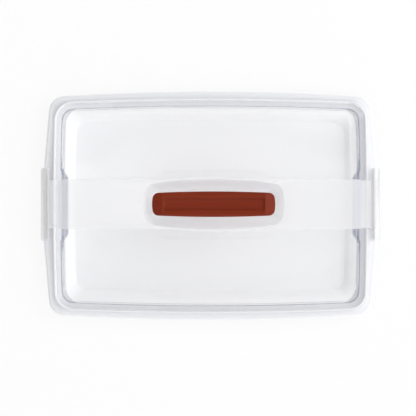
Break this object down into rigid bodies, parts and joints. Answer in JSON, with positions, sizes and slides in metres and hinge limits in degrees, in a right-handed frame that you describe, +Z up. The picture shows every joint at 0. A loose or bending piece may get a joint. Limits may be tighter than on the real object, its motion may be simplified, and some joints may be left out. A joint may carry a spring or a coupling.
{
  "type": "cake carrier",
  "caption": "Rectangular cake carrier: milky tray, tall clear lid and a frosted strap with a red-brown grip, hinged at one end and latched at the other.",
  "frame": {"origin": "on the table, under the middle of the tray", "axes": "+Z up, +X along the strap towards the end that opens, +Y towards the back"},
  "size_m": [0.4502, 0.3024, 0.111],
  "materials": {
    "milky_polypropylene": "satin, slightly see-through milky white",
    "clear_styrene_acrylonitrile": "polished clear",
    "frosted_polypropylene": "fine frosted",
    "red_brown_polypropylene": "satin",
    "stainless_steel": "drawn wire"
  },
  "bodies": {
    "tray": {"tray": "milky_polypropylene"},
    "lid": {"lid": "clear_styrene_acrylonitrile", "strap": "frosted_polypropylene", "grip_cover": "red_brown_polypropylene", "grip_base": "red_brown_polypropylene", "grip_screws": "stainless_steel", "left_hinge_pin": "stainless_steel", "right_hinge_pin": "stainless_steel"},
    "left_clip": {"left_clip": "frosted_polypropylene"},
    "right_clip": {"right_clip": "frosted_polypropylene"}
  },
  "joints": [
    {"name": "lid_hinge", "type": "hinge", "parent": "tray", "child": "lid", "pos_m": [-0.2147, 0.002, 0.0285], "axis": [0, -1, 0], "range_deg": [0, 100]},
    {"name": "left_clip_hinge", "type": "hinge", "parent": "tray", "child": "left_clip", "pos_m": [-0.2147, 0.002, 0.0285], "axis": [0, 1, 0], "range_deg": [0, 60]},
    {"name": "right_clip_hinge", "type": "hinge", "parent": "lid", "child": "right_clip", "pos_m": [0.2147, 0.002, 0.0285], "axis": [0, -1, 0], "range_deg": [0, 60]}
  ]
}
